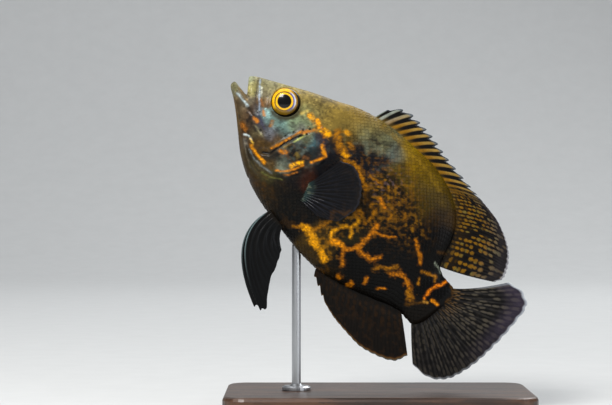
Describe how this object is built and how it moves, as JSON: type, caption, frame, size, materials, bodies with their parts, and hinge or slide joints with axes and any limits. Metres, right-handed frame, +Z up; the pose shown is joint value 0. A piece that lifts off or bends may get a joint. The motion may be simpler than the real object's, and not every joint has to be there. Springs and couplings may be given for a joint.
{
  "type": "oscar fish model",
  "caption": "Life-size still model of a tiger-patterned oscar fish, nose up with every fin spread, held by a steel rod on a dark wooden base.",
  "frame": {"origin": "middle of the underside of the stand's base", "axes": "+Z up; the fish's nose points to -X and up, and its left side faces -Y; +Y is the shortest way through the whole"},
  "size_m": [0.17, 0.096, 0.1863],
  "materials": {
    "fish_skin": "smooth scaled skin, olive gold over black with an orange net on the belly, satin with a wet gloss",
    "fin_skin": "dark thin membrane between pale rays, satin",
    "eye": "golden iris round a black pupil, under a clear gloss",
    "stand_wood": "dark stained hardwood, satin varnish",
    "stand_steel": "brushed steel rod and flange"
  },
  "bodies": {
    "root": {"head": "fish_skin", "lower_jaw": "fish_skin", "torso": "fish_skin", "tail_peduncle": "fish_skin", "gill_cover_left": "fish_skin", "gill_cover_right": "fish_skin", "eye_left": "eye", "eye_right": "eye", "dorsal_fin": "fin_skin", "anal_fin": "fin_skin", "caudal_fin": "fin_skin", "pectoral_fin_left": "fin_skin", "pectoral_fin_right": "fin_skin", "pelvic_fin_left": "fin_skin", "pelvic_fin_right": "fin_skin", "stand_base": "stand_wood", "stand_rod": "stand_steel"}
  },
  "joints": []
}
